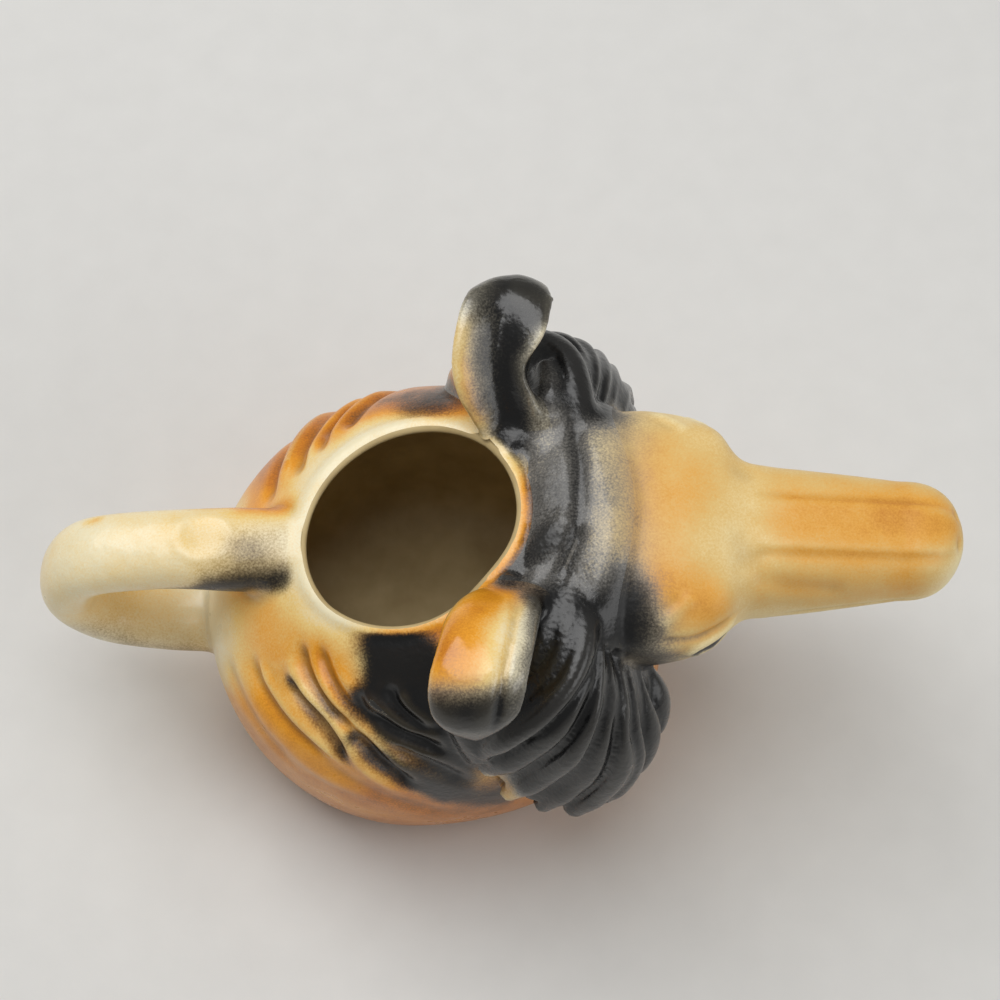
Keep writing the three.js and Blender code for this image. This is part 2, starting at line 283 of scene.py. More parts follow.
# filled pot: foot edge, belly, shoulder and a rounded lip
def potForm(grow=0.0):
    edge, top, rise, half = pot["footEdge"], pot["rimHeight"], pot["lipRise"], 0.5 * pot["lip"]
    rings = [potRing(0, edge * (1 - math.sin(a)) - grow, edge * (1 - math.cos(a)) - grow)
             for a in np.radians([0, 25, 50, 75])]
    near = top - np.array([2.2, 1.5, 0.9, 0.5, 0.2, 0.05, 0])  # closer together where the shoulder turns in
    rings += [potRing(z, -grow) for z in np.concatenate([np.linspace(edge, top - 3, 70), near])]
    rings += [potRing(top, half * (1 - math.cos(a)) - grow, rise * math.sin(a) + grow * math.sin(a))
              for a in np.radians([25, 50, 75, 90])]
    return skin(rings)


def potHollow():
    wall, floor, rise, half = pot["wall"], pot["floor"], pot["lipRise"], 0.5 * pot["lip"]
    top, neck = pot["rimHeight"], pot["rimHeight"] - pot["neck"]
    more = pot["lipMore"] * np.clip(np.cos(potAngles() - math.radians(pot["lipTowards"])), 0, None)
    rings = [potRing(floor, wall + 12), potRing(floor + 0.6, wall + 6), potRing(floor + 2, wall + 2.4)]
    rings += [potRing(z, wall) for z in np.linspace(floor + 5, neck, 40)]
    rings += [potRing(z, mix(wall, 2 * half + more, smooth(z, neck, top - 3)))
              for z in np.linspace(neck + 1, top - 1, 10)]
    rings += [potRing(top, half * (1 + math.cos(a)) + more, rise * math.sin(a))
              for a in np.radians([0, 25, 50, 75])]
    rings += [potRing(top, half + more, rise + 0.05), potRing(top, half + more, rise + 5)]
    return skin(rings)


def footRecess():
    ring, deep = pot["footRing"], pot["recess"]
    return skin([potRing(0, ring, -1), potRing(0, ring, deep - 1), potRing(0, ring + 1, deep)])


# Head
head = {
    # x, top, level, bottom, half width
    "stations": [
        (15, 71, 60, 38, 23), (28, 76, 63, 38, 24.5), (40, 77, 64.5, 41, 25), (48, 77, 65, 43, 24.8),
        (54, 76.4, 65, 45, 23.2), (59, 75, 65, 46.5, 19.4), (63, 73.6, 62.5, 47.5, 15),
        (68, 72.6, 61.5, 48, 13.8), (75, 72, 61.3, 48.5, 13), (85, 71, 61.5, 50, 11.9),
        (93, 70, 61.5, 51.5, 11),
    ],
    "tip": 105.2, "tipLevel": 62, "tipRound": 2.7, "wall": 3.2, "sides": 160,
    "skullSquare": 2.15, "muzzleSquare": 2.8, "squareFrom": (54, 68),  # 2 is an oval, more is boxier
    "bridge": 5.2, "bridgeRise": 0.45, "bridgeShift": -1.7,
    "bridgeFrom": (62, 72), "bridgeEdge": 0.9, "bridgeDish": 0.35,
    "mouth": (88, 107, 57, 7, 3.4),  # start, end, level, half width, half height
}


def headRing(x, grow=0.0):
    rows = head["stations"]
    last = rows[-1][0]
    top, level, bottom, half = through([r[0] for r in rows], [r[1:] for r in rows], np.float64(min(x, last)))
    past = max(0.0, (x - last) / (head["tip"] - last))
    close = math.sqrt(max(0.0, 1 - past ** head["tipRound"]))
    square = 2 / mix(head["skullSquare"], head["muzzleSquare"], smooth(x, *head["squareFrom"]))
    a = 2 * math.pi * np.arange(head["sides"]) / head["sides"]
    v, s = np.cos(a), np.sin(a)
    y = (half + grow) * np.sign(v) * np.abs(v) ** square
    rise = np.where(s > 0, top - level, level - bottom) + grow
    z = level + rise * np.sign(s) * np.abs(s) ** square
    # flat bridge with a crease at each side, from the stop to the nose
    aside, edge = np.abs(y - head["bridgeShift"]), head["bridgeEdge"]
    bridge = (s > 0) * (1 - smooth(aside, head["bridge"] - edge, head["bridge"] + edge))
    bridge = bridge * smooth(x, *head["bridgeFrom"])
    z = z + bridge * (head["bridgeRise"] + head["bridgeDish"] * (aside / head["bridge"]) ** 2)
    return np.stack([np.full_like(y, x), y * close, mix(head["tipLevel"], z, close)], -1)


def headForm(grow=lambda x: 0.0):
    first, last = head["stations"][0][0], head["stations"][-1][0]
    tip = mix(last, head["tip"], np.sin(np.linspace(0, 0.499, 18) * math.pi))
    return skin([headRing(x, grow(x)) for x in np.concatenate([np.arange(first, last, 0.8), tip])])


def headHollow():
    first, last = head["stations"][0][0], head["stations"][-1][0]
    return skin([headRing(x, -head["wall"]) for x in np.arange(first, last + 0.5, 1.5)])


def ovalBar(start, end, level, halfWidth, halfHeight):
    path = line([(start, 0, level), (0.5 * (start + end), 0, level), (end, 0, level)], 12)
    return skin(sweep(path, (0, 1, 0), lambda t, v, s: (halfWidth * v + 0 * t, halfHeight * s + 0 * t), 64))


# Ears: the left one is gutter shaped to its crest, the right one lies like a tongue
ear = {
    "half": 8.6, "thick": 1.9, "web": 5.5, "round": {1: 0.6, -1: 0.68}, "steps": 130, "sides": 96,
    "paths": {
        1: [(19.5, 15, 69), (18.2, 20.5, 78), (16.8, 26.5, 84), (17.6, 32.5, 87), (19.3, 38, 87.6),
            (20.4, 42, 85.6), (20.8, 44.8, 81)],
        -1: [(18.5, 15, 70), (17.5, 20, 78.5), (16.5, 26, 84.5), (15.5, 33, 88.2), (14.3, 39, 88),
             (13.3, 43.4, 84), (13, 44.6, 75)],
    },
    # along the ear: front and rear half widths, and how hollow the face is
    "front": {1: (0.75, 0.8, 0.58, 0.95, 1.0, 0.95), -1: (0.75, 0.9, 0.9, 0.88, 0.94, 1.0)},
    "rear": {1: (0.3, 0.75, 0.98, 0.95, 0.95, 0.9), -1: (0.3, 0.75, 1.02, 1.06, 1.08, 1.05)},
    "hollow": {1: (3.0, 3.8, 4.2, 3.8, -0.6, -1.6), -1: (0.0, 0.2, -0.4, -1.0, -1.4, -1.4)},
    "faceCurve": 1.35, "faceLevel": 0.42, "heel": 0.6, "webRun": 1.15, "tipShut": 0.985,
    "band": {1: 0.0, -1: 1.1}, "bandAt": 0.45, "bandWidth": 0.09,  # shallow band along the right ear
    # front rim of the left ear, that curls round at the root
    "rim": [(27, 38, 87.4), (26.4, 35.5, 88), (24.4, 30.8, 86.6), (22, 26.2, 83.4), (21.8, 22.5, 80),
            (23.6, 19.3, 78), (26.4, 17.6, 77.4), (28.8, 19.6, 77), (29, 23.5, 76), (27.4, 27, 74.8)],
    "rimGirth": 0.95,
    # clay that fills the fold of the left ear
    "pad": [(23, 12, 72.5), (26, 19, 74), (27.4, 25, 75), (26.5, 31, 74.5)], "padGirth": 3.2,
}


def earForm(side, grow=0.0):
    path = line(mirrored(ear["paths"][side], side), ear["steps"])

    def rule(t, v, s):
        def along(name):
            return through(np.linspace(0, 1, 6), np.array(ear[name][side])[:, None], t)[..., 0]

        fore = -side * v  # towards the muzzle
        start = ear["round"][side]
        close = np.sqrt(1 - ear["tipShut"] * np.clip((t - start) / (1 - start), 0, 1) ** 2)
        half = ear["half"] * np.where(fore > 0, along("front"), along("rear")) * close + grow
        heel = 1 + ear["heel"] * smooth(-fore, 0.1, 0.9)  # rear edge is thick and round
        thick = ear["thick"] * close * heel + grow
        below = thick + ear["web"] * np.sin(math.pi * np.minimum(1, ear["webRun"] * t))
        face = np.abs(v) ** ear["faceCurve"] - ear["faceLevel"]
        lift = np.where(s > 0, thick, below) * s + along("hollow") * face
        band = hump(fore, ear["bandAt"], ear["bandWidth"])
        band = band * smooth(t, 0.15, 0.35) * (1 - smooth(t, 0.75, 0.92))
        return half * v, lift - ear["band"][side] * band * (s > 0)

    return skin(sweep(path, (-side, 0, 0), rule, ear["sides"]))


# Handle
handle = {
    "reach": 73.2, "top": 57.5, "bottom": 26.5, "width": 15.6, "thick": 11.5, "steps": 120, "sides": 64,
    "square": 0.92, "upperFlare": 0.08, "lowerFlare": 0.25,  # wider at both roots
    "dimple": -39, "dimpleEdge": 5,
}


def handleForm():
    back = handle["reach"] - 0.5 * handle["thick"]
    stops = [(-22, 0.97), (-36, 1), (-50, 0.985), (4 - back, 0.84), (-back, 0.52), (5 - back, 0.19),
             (-50, 0.015), (-30, -0.02)]
    path = line([(x, 0, mix(handle["bottom"], handle["top"], t)) for x, t in stops], handle["steps"])

    def rule(t, v, s):
        upper, lower = smooth(0.25 - t, 0, 0.16), smooth(t, 0.86, 1)
        flare = 1 + handle["upperFlare"] * upper + handle["lowerFlare"] * lower
        v, s = (np.sign(c) * np.abs(c) ** handle["square"] for c in (v, s))
        return 0.5 * handle["width"] * flare * v, 0.5 * handle["thick"] * flare * s

    return skin(sweep(path, (0, 1, 0), rule, handle["sides"]))


# Ruff: guide locks from the ear round to the throat, each from its root to its tip, near side mirrored
ruff = {
    "guides": [
        [(15.5, 17, 69), (10.5, 24, 68), (6.5, 30.5, 64.5), (7, 35, 58.5), (9, 38.2, 52), (12, 40.2, 46)],
        [(18, 18, 73), (13.6, 26, 72), (10, 33, 69.4), (9.4, 37.2, 64), (10.8, 40.2, 57), (13, 41.6, 50)],
        [(27.5, 16, 74.5), (27.5, 25, 74.5), (26.2, 32, 71.5), (22.5, 37.6, 67.5), (18, 41, 60.5),
         (14, 42, 52)],
        [(33, 17, 74.5), (32.5, 27.5, 74), (30.5, 34, 72.5), (26, 38.5, 70), (20, 41.5, 65), (14, 42, 56)],
        [(35, 25, 73), (35.5, 31, 71), (34.2, 37.5, 67.5), (30.5, 42, 61), (24.5, 43.2, 50), (18, 43, 38)],
        [(37.5, 27, 68), (39, 34, 65.5), (39, 40, 58), (37, 43, 47), (33, 43.5, 36), (29, 44, 28)],
        [(41.5, 27, 62), (43, 33, 58), (43.5, 37.5, 51), (43, 40, 42), (41, 41, 35), (39.5, 41, 29)],
        [(45, 23, 56), (46.5, 26, 51), (47, 28.5, 47), (47, 30.5, 43), (46, 32, 40.5), (45.5, 32.5, 38)],
    ],
    "firstLock": 3.0, "locks": 8, "girth": 3.2, "sheetSink": {1: 0.8, -1: 1.8},
    "valley": (1.4, 1.9, 2.45), "valleyGirth": 3.6,  # smooth hair between ear and first lock
    "groove": -1.1, "grooveRadius": 1.0, "farSwell": 3.4,
    "core": [(20, 10, 60), (30, 12, 58), (42, 12, 54)], "coreFall": -24,  # inner side of the sheet
    "sheetOut": (0.2, 0.85, 0.45), "lockOut": (0.2, 0.8, 0.4),  # about square to the ruff
    "steps": 24, "lockSides": 20, "waver": 0.0004,
}


def ruffLine(u, count):
    guides = np.asarray(ruff["guides"], float)
    blend = through(np.arange(len(guides)), guides.reshape(len(guides), -1), np.float64(u))
    return line(blend.reshape(-1, 3), count)


# the far ruff stands out a little more
def ruffOn(side, u, count):
    path = ruffLine(u, count)
    if side > 0:
        swell = ruff["farSwell"] * hump(u, 4, 2) * np.sin(np.linspace(0, math.pi, count))
        path += swell[:, None] * (0, 0.8, 0.6)
    return path


def ruffSheet(side):
    across = np.linspace(0, len(ruff["guides"]) - 1, 57)
    grid = np.stack([ruffOn(side, u, 32) for u in across], 1)[:31]  # along a lock, then round the ruff
    sink = ruff["sheetSink"][side] * smooth(across, 2.3, 3.4)
    face = grid - sink[None, :, None] * np.array(ruff["sheetOut"])
    core = line(ruff["core"], 9)[::-1]
    fall = np.linspace(0, ruff["coreFall"], 31)[:, None, None] * (0, 0, 1)
    return skin(mirrored(np.concatenate([face, core[None] + fall], 1), side))


def lockPlaces():
    return np.linspace(ruff["firstLock"], len(ruff["guides"]) - 1, ruff["locks"])


def sunkBy(path, depth):
    return path - depth * np.array(ruff["lockOut"])


# the locks as guide lines, with a girth at each point
def lockGuides():
    lines, girths, steps = [], [], ruff["steps"]
    shape = np.linspace(0, 1, steps)
    for side in (1, -1):
        for u in ruff["valley"]:
            lines.append(mirrored(sunkBy(ruffOn(side, u, steps), ruff["valleyGirth"] + 0.6), side))
            girths.append(ruff["valleyGirth"] * mix(1, 0.6, smooth(shape, 0.8, 1)))
        for k, u in enumerate(lockPlaces()):
            girth = ruff["girth"] * (1 + 0.2 * math.sin(2.3 * k + side))
            rise = 0.5 * math.sin(3.7 * k + 1 + side) if k else 0.2 - 0.4 * side  # first lock is a crest
            lines.append(mirrored(sunkBy(ruffOn(side, u, steps), girth - rise), side))
            root = smooth(shape, 0.1, 0.55 if side < 0 else 0.8) if k else smooth(shape, -0.1, 0.15)
            girths.append(girth * mix(0.35, 1, root) * mix(1, 0.65, smooth(shape, 0.8, 1)))
    lines.append(line(ear["pad"], steps))
    girths.append(ear["padGirth"] * mix(0.7, 1, np.sin(math.pi * shape)))
    lines.append(line(ear["rim"], 40))
    girths.append(ear["rimGirth"] * mix(0.6, 1, smooth(np.linspace(0, 1, 40), 0, 0.2)))
    return lines, girths


# Crown: a saddle of hair from the lip to the skull, with a crease along it
crown = {
    "reach": 25, "fall": 0.0115, "bow": -2.6, "bowReach": 18,
    "span": (19.2, 44.8), "under": [(40, 58), (24, 58)],
    "profile": [(19, 71), (22.6, 75), (25, 76.6), (28, 78), (30.5, 78.8), (33, 79), (36.8, 79.8),
                (39.5, 79.4), (42, 78), (45, 75)],
    "crease": [(29.5, 21), (31.4, 15), (32, 7.5), (31.8, 0), (31, -7.6), (28.8, -15), (26.6, -20)],
    "creaseDepth": -0.7, "creaseRadius": 1.5,
}


def crownLevel(x, y):
    flat = np.asarray(crown["profile"], float)
    level = through(flat[:, 0], flat[:, 1:], x - crown["bow"] * (y / crown["bowReach"]) ** 2)[..., 0]
    return level - crown["fall"] * y**2


def crownSheet():
    rows = []
    for y in np.linspace(-crown["reach"], crown["reach"], 60):
        x = np.linspace(*crown["span"], 60) + crown["bow"] * (y / crown["bowReach"]) ** 2
        over = np.stack([x, np.full_like(x, y), crownLevel(x, y)], -1)
        rows.append(np.concatenate([over, [(across, y, level) for across, level in crown["under"]]]))
    return skin(rows)


# tree that sweeps round locks along guide lines
def lockTree():
    tree = bpy.data.node_groups.new("hairLocks", "GeometryNodeTree")
    inputs = {"Guides": ("Geometry", None), "Lock sides": ("Int", 20), "Step": ("Float", 0.0008),
              "Waver": ("Float", 0.0005), "Waver length": ("Float", 0.012), "Seed": ("Float", 4.0),
              "Clay": ("Material", None)}
    for name, (kind, value) in inputs.items():
        socket = tree.interface.new_socket(name, in_out="INPUT", socket_type="NodeSocket" + kind)
        if value is not None:
            socket.default_value = value
    tree.interface.new_socket("Locks", in_out="OUTPUT", socket_type="NodeSocketGeometry")
    given = addNode(tree, "NodeGroupInput").outputs
    curves = addNode(tree, "GeometryNodeMeshToCurve", links={"Mesh": given["Guides"]})
    girth = addNode(tree, "GeometryNodeInputNamedAttribute", {"data_type": "FLOAT", "Name": "girth"})
    curves = addNode(tree, "GeometryNodeSetCurveRadius",
                     links={"Curve": curves, "Radius": girth.outputs["Attribute"]})
    curves = addNode(tree, "GeometryNodeResampleCurve", {"mode": "LENGTH"},
                     {"Curve": curves, "Length": given["Step"]})
    # each lock wavers a little, as hair modelled by hand does
    scale = addNode(tree, "ShaderNodeMath", {"operation": "DIVIDE", 0: 1.0}, {1: given["Waver length"]})
    noise = addNode(tree, "ShaderNodeTexNoise", {"noise_dimensions": "4D", "Detail": 0.0},
                    {"W": given["Seed"], "Scale": scale})
    centred = addNode(tree, "ShaderNodeVectorMath", {"operation": "SUBTRACT", 1: (0.5, 0.5, 0.5)},
                      {0: noise.outputs["Color"]})
    doubled = addNode(tree, "ShaderNodeMath", {"operation": "MULTIPLY", 1: 4.0}, {0: given["Waver"]})
    offset = addNode(tree, "ShaderNodeVectorMath", {"operation": "SCALE"}, {0: centred, "Scale": doubled})
    curves = addNode(tree, "GeometryNodeSetPosition", links={"Geometry": curves, "Offset": offset})
    ring = addNode(tree, "GeometryNodeCurvePrimitiveCircle", {"Radius": 1.0},
                   {"Resolution": given["Lock sides"]})
    radius = addNode(tree, "GeometryNodeInputRadius")
    locks = addNode(tree, "GeometryNodeCurveToMesh", {"Fill Caps": True},
                    {"Curve": curves, "Profile Curve": ring, "Scale": radius})
    locks = addNode(tree, "GeometryNodeRealizeInstances", links={0: locks})
    locks = addNode(tree, "GeometryNodeSetMaterial", links={"Geometry": locks, "Material": given["Clay"]})
    addNode(tree, "NodeGroupOutput", links={"Locks": locks})
    return tree


def makeLocks(clay):
    lines, girths = lockGuides()
    mesh = bpy.data.meshes.new("lockGuides")
    starts = np.cumsum([0] + [len(q) for q in lines])
    edges = [(i, i + 1) for a, b in zip(starts[:-1], starts[1:]) for i in range(a, b - 1)]
    mesh.from_pydata(toFrame(np.concatenate(lines)).tolist(), edges, [])
    mesh.attributes.new("girth", "FLOAT", "POINT").data.foreach_set("value", np.concatenate(girths) * 0.001)
    guides = newPiece("lockGuides", mesh)
    modifier = guides.modifiers.new("hairLocks", "NODES")
    modifier.node_group = lockTree()
    items = modifier.node_group.interface.items_tree
    keys = {item.name: item.identifier for item in items if item.in_out == "INPUT"}
    modifier[keys["Lock sides"]] = ruff["lockSides"]
    modifier[keys["Waver"]] = ruff["waver"]
    modifier[keys["Clay"]] = clay
    return bake(guides, "locks")


bareClay = bpy.data.materials.new("bareClay")
hairLocks = makeLocks(bareClay)
lockFaces = [list(face.vertices) for face in hairLocks.data.polygons]
lockPart = (places(hairLocks), lockFaces)
bpy.data.objects.remove(hairLocks)
print("locks", len(lockPart[0]))

# Fired body: every form run together, as slip does at the seams
body = {
    "voxel": 0.0005, "rounds": 6, "inward": 0.5, "outward": -0.52, "slip": 0.6,
    "softRounds": 3, "soft": 0.35,  # after tooling
    "sunkRounds": 8, "sunkBlend": 0.7, "sunkDepth": 0.07,
}
forms = [potForm(), headForm(), handleForm(), earForm(1), earForm(-1), ruffSheet(1), ruffSheet(-1)]
forms += [crownSheet(), lockPart]
fired = fromParts("fired", forms)
fired.modifiers.new("fuse", "REMESH").mode = "VOXEL"
fired.modifiers["fuse"].voxel_size = body["voxel"]
fired = bake(fired, "fired")
print("fused", len(fired.data.vertices))

# soft places where slip fills the corner: rounds, radius, line
fillets = [(60, 9, [(-28, 0, 58)]), (60, 9, [(-38, 0, 27)])]  # roots of the handle
for side in (1, -1):
    fillets.append((40, 7, mirrored([(15, 18, 73), (20, 20, 77)], side)))  # ear
    fillets.append((40, 4, mirrored([(23, 17, 74), (28, 19, 75), (34, 20, 74)], side)))  # crown
    fillets.append((30, 6, mirrored([(62, 16, 66), (64, 13, 73)], side)))  # muzzle


def settle(piece):
    edges = edgesOf(piece)
    points = places(piece)
    for step in range(2 * body["rounds"]):  # in and back out, so that nothing shrinks
        share = body["outward"] if step % 2 else body["inward"]
        points = points + share * (around(points, edges) - points)
    for rounds, radius, path in fillets:
        weight = mark(points, body["slip"], radius, path)[:, None]
        near = weight[:, 0] > 0.02
        for step in range(rounds):
            points[near] += (weight * (around(points, edges) - points))[near]
    place(piece, points)


settle(fired)
print("settled")

# Hair lines on the flanks: height, radius, then angle from the muzzle and level at each point
hairLines = {
    -1: [
        (0.9, 1.5, [(127, 63.5), (118, 61), (110, 58.5), (105, 56.5), (100, 54.5), (96, 51.5), (92, 47.5),
                    (89, 43.5), (87, 40)]),
        (0.9, 1.5, [(138, 62), (129, 59.5), (121, 58), (113, 56), (109, 53), (106, 49.5), (101, 45),
                    (95, 40.5), (90, 36)]),
        (0.7, 1.4, [(146, 57), (136, 55), (128, 52.8), (119, 50.5), (112, 48), (106, 44)]),
        (0.8, 1.4, [(118, 64.5), (109, 62), (102, 59), (98, 56.5), (93, 54), (89, 51.5), (84, 49), (80, 45)]),
        (0.8, 1.4, [(105, 62.5), (100, 60.4), (95, 58.8), (90, 56.8), (84, 54.5), (80, 51.5)]),
        (0.7, 1.3, [(92, 62.5), (90, 60.5), (86, 58), (82, 55.5)]),
        (0.6, 2.4, [(156, 52), (145, 49.5), (136, 46.5), (127, 44), (118, 40), (109, 37), (100, 33)]),
        (-1.6, 1.4, [(136, 65), (131, 62.8), (123, 60.3), (116, 58), (109, 56), (103, 54)]),
        (-2.0, 1.6, [(134, 59), (127, 57), (120, 55.2), (115, 53), (110.5, 50), (107, 46.5)]),
        (-1.0, 1.5, [(150, 56.5), (142, 53.6), (134, 51.8), (126, 49.8), (118, 47.4), (110, 43.5)]),
        (-1.3, 1.4, [(129, 66), (121, 63.6), (114, 61), (107, 58.4), (101, 55.8), (96, 54)]),
        (-1.6, 1.4, [(110, 63), (104, 59.6), (98, 57.4), (92, 55), (86, 52.6), (80, 48.6)]),
        (-2.0, 1.9, [(108, 54.5), (102, 51.5), (98, 48), (93, 44), (89, 39)]),
        (-1.2, 1.8, [(95, 52.8), (87, 48.5), (81, 43), (76, 37)]),
        (-1.0, 1.3, [(97, 63.5), (93, 60.4), (88, 57.4), (83, 54)]),
        (-0.7, 2.2, [(115, 44.5), (106, 40), (97, 35), (88, 29), (79, 21)]),
        (-0.6, 2.0, [(158, 47), (147, 44.5), (138, 41), (130, 37.5), (120, 33)]),
    ],
    1: [
        (-1.6, 2.0, [(160, 63), (146, 59.5), (135, 54), (126, 47), (119, 39)]),
        (-1.8, 2.0, [(148, 66), (133, 62), (122, 57), (113, 50), (106, 42)]),
        (-1.8, 2.0, [(136, 66.5), (121, 61.5), (111, 56), (102, 49), (95, 41)]),
        (-1.6, 1.8, [(120, 66), (106, 60), (97, 54.5), (89, 48)]),
        (-0.8, 1.3, [(127, 63), (116, 59), (107, 53.5), (99, 46)]),
        (1.0, 2.6, [(154, 65), (139, 61), (128, 55.5), (119, 48.5), (112, 40)]),
        (1.0, 2.6, [(142, 66), (127, 62), (117, 56.5), (107, 49.5), (100, 41)]),
        (0.8, 2.6, [(128, 66), (113, 61), (104, 55), (95, 48)]),
    ],
}


def onPot(pairs, side):
    angle, z = np.asarray(pairs, float).T
    return potSurface(np.radians(side * angle), z)


def hairRelief(points):
    relief = np.zeros(len(points))
    for side in hairLines:
        for height, radius, pairs in hairLines[side]:
            relief += mark(points, height, radius, line(onPot(pairs, side), 24), True)
    return relief


# Tooling on the soft clay: height, radius, line; a minus height is a groove. Both sides of the head get each.
tooling = [
    (-0.6, 0.9, [(70, 13.3, 56.5), (84, 12, 57), (100, 10, 57.5)]),  # lips
    (-1.0, 1.2, [(104, 3, 66)]),  # nostrils
    (0.9, 2.2, [(56.8, 21.2, 63.2)]),  # eye, upper lid, lower lid and the fold above
    (1.0, 1.1, [(50.6, 24.3, 63.2), (53.5, 23.4, 65.4), (56.5, 21.6, 66.1), (59.5, 19, 65.6),
                (62.2, 16.2, 63.6)]),
    (0.6, 0.9, [(51.6, 24, 62.4), (54.5, 22.8, 61), (57.5, 20.8, 60.6), (61, 17.6, 61.8)]),
    (-0.8, 0.8, [(45.5, 23.9, 69), (50.6, 23.3, 68.3), (54, 22.3, 67.8), (57.5, 20.2, 67.6),
                 (60.5, 17.4, 67.4)]),
    (0.9, 4.0, [(57.5, 17.5, 71.6)]),  # brow
    (0.5, 1.5, [(46, 22, 70.5), (50, 19.5, 73), (53.5, 16.5, 74.5)]),  # ridge from temple to brow
    (-0.4, 1.2, [(47, 20, 73), (51, 17.5, 75)]),
    (-0.8, 3.2, [(63.5, 9.5, 73)]),  # hollow beside the stop
]
creaseLine = [(x, y, float(crownLevel(np.float64(x), np.float64(y)))) for x, y in crown["crease"]]
thumb, edge = handle["dimple"], handle["dimpleEdge"]
dimpled = [
    (-0.75, 3.4, [(thumb, 0, 63.4)]),  # thumb dimple with a raised edge
    (0.28, 1.2, [(thumb + edge * math.cos(a), edge * math.sin(a), 63.2) for a in np.linspace(0, 6.3, 25)]),
    (-0.5, 1.5, [(-62, 6, 60.2), (-60.5, 6.6, 60.4)]),  # chip in the glaze
    (-0.2, 1.0, [(66, -7.6, 72.2), (80, -7.6, 71), (98, -7, 69)]),  # creases beside the bridge
    (-0.12, 1.0, [(66, 4.4, 73), (80, 4.2, 71.8), (98, 3.8, 69.8)]),
    (-0.7, 2.4, [(66, -11.5, 69), (72, -12.4, 67), (79, -12.4, 65.5)]),  # soft hollow on the near cheek
    (-0.6, 3.0, [(62, -6, 74), (65, -9, 72.6)]),
    (0.8, 2.4, [(19, -13, 75), (24, -8.5, 76.4), (29, -4, 77.8)]),  # lobe of hair beside the lip
    (-0.8, 1.6, [(31.5, -7, 78), (28.5, -12.5, 76.4), (24.5, -17, 74.6)]),
    (crown["creaseDepth"], crown["creaseRadius"], creaseLine),
]


def tool(piece):
    points, facing = places(piece), normals(piece)
    lift = hairRelief(points)
    for height, radius, path in tooling:
        for side in (1, -1):
            lift += mark(points, height, radius, mirrored(path, side), True)
    for height, radius, path in dimpled:
        lift += mark(points, height, radius, path)
    for u in 0.5 * (lockPlaces()[1:] + lockPlaces()[:-1]):
        for side in (1, -1):
            path = mirrored(sunkBy(ruffOn(side, u, ruff["steps"]), 1.2), side)[5:]
            lift += mark(points, ruff["groove"], ruff["grooveRadius"], path, True)
    place(piece, points + facing * lift[:, None])
    points, edges = places(piece), edgesOf(piece)
    for step in range(body["softRounds"]):
        points = points + body["soft"] * (around(points, edges) - points)
    place(piece, points)


tool(fired)
print("tooled")

# how sunk each point is: 1 deep in a groove, 0 on a ridge
firedPlaces = places(fired)
firedEdges = edgesOf(fired)
sunk = np.einsum("ij,ij->i", around(firedPlaces, firedEdges) - firedPlaces, normals(fired))[:, None]
for step in range(body["sunkRounds"]):
    sunk = mix(sunk, around(sunk, firedEdges), body["sunkBlend"])
sunk = np.clip(0.5 + sunk[:, 0] / body["sunkDepth"], 0, 1)
firedTree = kdtree.KDTree(len(firedPlaces))
for i, at in enumerate(firedPlaces):
    firedTree.insert(at, i)
firedTree.balance()


def box(low, high):
    corners = [(low[0], low[1]), (high[0], low[1]), (high[0], high[1]), (low[0], high[1])]
    return skin([[(x, y, z) for x, y in corners] for z in (low[2], high[2])])


innerGlaze = bpy.data.materials.new("innerGlaze")
seam = bpy.data.materials.new("lutedSeam")
fired.data.materials.clear()
fired.data.materials.append(bareClay)
cutters = {}


# the cut faces take the cutter's material
def cutter(name, part, material):
    cutters[name] = fromParts(name, [part])
    cutters[name].data.materials.append(material)
    return cutters[name]


# each cast or pressed piece is cut from the fired body where it was luted on, the pot first
standOff = {"pot": 0.9, "skull": 0.9, "muzzle": 3, "ear": 1.2}  # so that a cut takes in the form's relief
takes = {
    "pot": potForm(standOff["pot"]),
    "head": headForm(lambda x: mix(standOff["skull"], standOff["muzzle"], smooth(x, 50, 56))),
    "ear_left": earForm(1, standOff["ear"]),
    "ear_right": earForm(-1, standOff["ear"]),
    "crown_mane": box((21.5, -21, 62), (44, 21, 90)),
    "handle": box((-90, -20, 5), (-14, 20, 75)),
    "ruff_left": box((-12, 0, 0), (80, 60, 95)),
}
pieces = {}
rest = copied(fired, "ruff_right")
for name, part in takes.items():
    shape = cutter(name + "Cut", part, seam)
    pieces[name] = cut(copied(rest, name), shape, "INTERSECT")
    rest = cut(rest, shape, "DIFFERENCE")
pieces["ruff_right"] = rest

# hollows: cream goes in at the top, along the throat and out at the muzzle
bores = {
    "pot": [cutter("hollow", potHollow(), innerGlaze), cutter("throat", ovalBar(*pot["throat"]), innerGlaze),
            cutter("foot", footRecess(), bareClay)],
    "head": [cutter("skull", headHollow(), innerGlaze), cutter("mouth", ovalBar(*head["mouth"]), innerGlaze)],
}
for name in bores:
    for bore in bores[name]:
        pieces[name] = cut(pieces[name], bore, "DIFFERENCE")
thin = pieces["pot"].modifiers.new("thin", "DECIMATE")
thin.ratio = pot["kept"]
pieces["pot"] = bake(pieces["pot"], "pot")
for used in (*cutters.values(), fired):
    bpy.data.objects.remove(used)
for name, piece in pieces.items():
    print(name, len(piece.data.polygons), [m.name for m in piece.data.materials])


# line round one flank at a level
def ring(level, start, end, side=1, count=14):
    return onPot([(a, level) for a in np.linspace(start, end, count)], side)


def lip(start, end):
    return potSurface(np.radians(np.linspace(start, end, 24)), pot["rimHeight"], lift=0.5)


